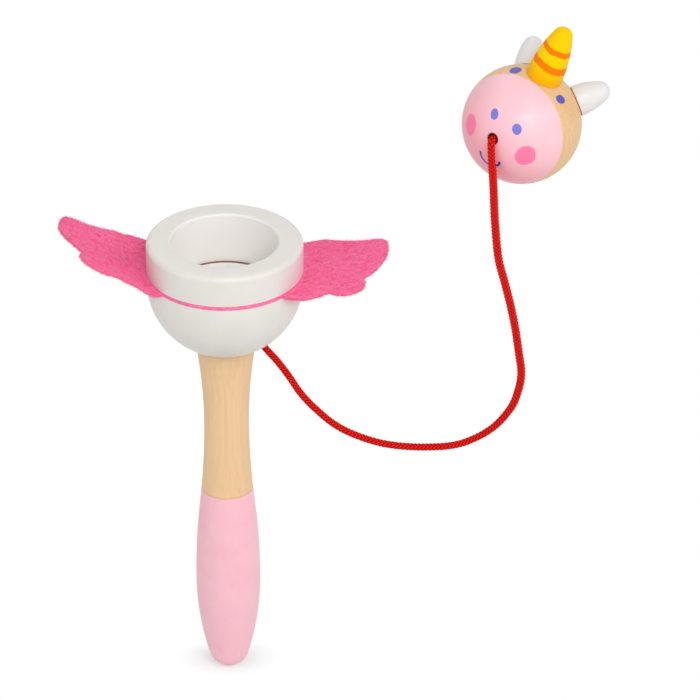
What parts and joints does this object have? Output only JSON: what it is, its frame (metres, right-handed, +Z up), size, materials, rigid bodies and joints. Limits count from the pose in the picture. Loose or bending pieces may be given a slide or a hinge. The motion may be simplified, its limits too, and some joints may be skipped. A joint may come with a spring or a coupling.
{
  "type": "cup and ball toy",
  "caption": "Turned wooden cup on a handle with felt wings under its rim, and a horned animal-head ball tied to the cup's floor by a cord, for tossing and catching.",
  "frame": {"origin": "on the handle's axis, at the widest line of the grip, where a hand holds the toy", "axes": "+Z up the handle's axis and out of the cup's mouth, +X across the toy towards the ball's side, +Y away from the picture's viewer"},
  "size_m": [0.2079, 0.074, 0.2737],
  "materials": {
    "painted_wood_handle": "clear lacquer over beech, lower part dipped in pink paint",
    "white_wood": "white satin paint",
    "felt": "pressed wool felt, pink",
    "cord": "round red braid",
    "ball_wood": "clear lacquer over beech, with a pink painted face",
    "horn_paint": "yellow satin paint with orange bands"
  },
  "bodies": {
    "cup": {"handle": "painted_wood_handle", "cup_bowl": "white_wood", "felt_wings": "felt", "rim_ring": "white_wood"},
    "cord_end": {"anchor_knot": "cord"},
    "near_cord": {"cord_near": "cord"},
    "far_cord": {"cord_far": "cord", "ball_knot": "cord"},
    "head": {"ball": "ball_wood", "horn": "horn_paint", "left_ear": "white_wood", "right_ear": "white_wood"}
  },
  "joints": [
    {"name": "cord_swivel", "type": "hinge", "parent": "cup", "child": "cord_end", "pos_m": [0.0125, 0.0095, 0.115], "axis": [0, 0, 1], "range_deg": [-45, 120]},
    {"name": "cord_swing", "type": "hinge", "parent": "cord_end", "child": "near_cord", "pos_m": [0.0125, 0.0095, 0.108], "axis": [0, -1, 0], "range_deg": [-30, 45], "deforming": ["cord_near"]},
    {"name": "cord_fold", "type": "hinge", "parent": "near_cord", "child": "far_cord", "pos_m": [0.0775, 0.004, 0.056], "axis": [0, -1, 0], "range_deg": [-120, 10], "deforming": ["cord_far"]},
    {"name": "ball_spin", "type": "hinge", "parent": "far_cord", "child": "head", "pos_m": [0.1127, 0.016, 0.1914], "axis": [-0.5112, -0.8436, 0.1642], "continuous": true}
  ]
}
